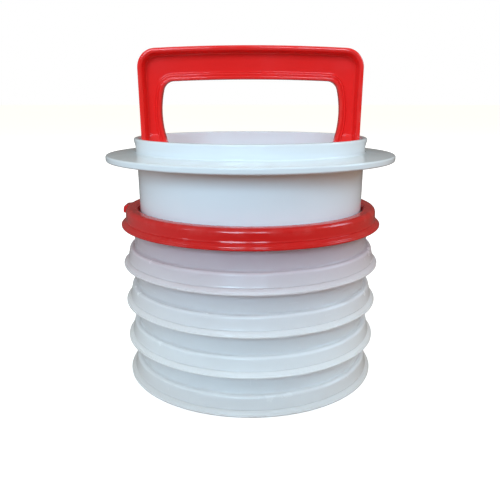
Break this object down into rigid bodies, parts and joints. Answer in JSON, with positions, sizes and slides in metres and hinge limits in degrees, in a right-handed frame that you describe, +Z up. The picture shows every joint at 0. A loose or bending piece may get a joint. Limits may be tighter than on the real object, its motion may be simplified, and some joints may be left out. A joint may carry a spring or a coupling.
{
  "type": "tiffin carrier",
  "caption": "Stack of round lidded food dishes that seal onto one another, with a flanged ring and an arched-handle press standing on the lid.",
  "frame": {"origin": "centre of the stack on the surface that it stands on", "axes": "+Z up along the stack; +X along the handle's arch; +Y away from the viewer, through the grip gap"},
  "size_m": [0.1466, 0.1466, 0.1672],
  "materials": {
    "translucent_white": "translucent, satin",
    "opaque_white": "gloss",
    "lid_red": "satin gloss",
    "press_red": "gloss"
  },
  "bodies": {
    "dish_1": {"dish_1": "translucent_white"},
    "dish_2": {"dish_2": "translucent_white"},
    "dish_3": {"dish_3": "translucent_white"},
    "dish_4": {"dish_4": "translucent_white"},
    "lid": {"lid": "lid_red"},
    "press_ring": {"press_ring": "opaque_white"},
    "press": {"press_plate": "opaque_white", "handle": "press_red"}
  },
  "joints": [
    {"name": "dish_2_lift", "type": "slide", "parent": "dish_1", "child": "dish_2", "axis": [0, 0, 1], "range_m": [0, 0.035]},
    {"name": "dish_3_lift", "type": "slide", "parent": "dish_2", "child": "dish_3", "axis": [0, 0, 1], "range_m": [0, 0.035]},
    {"name": "dish_4_lift", "type": "slide", "parent": "dish_3", "child": "dish_4", "axis": [0, 0, 1], "range_m": [0, 0.035]},
    {"name": "lid_lift", "type": "slide", "parent": "dish_4", "child": "lid", "axis": [0, 0, 1], "range_m": [0, 0.035]},
    {"name": "ring_lift", "type": "slide", "parent": "lid", "child": "press_ring", "axis": [0, 0, 1], "range_m": [0, 0.03]},
    {"name": "press_lift", "type": "slide", "parent": "press_ring", "child": "press", "axis": [0, 0, 1], "range_m": [0, 0.06]}
  ]
}
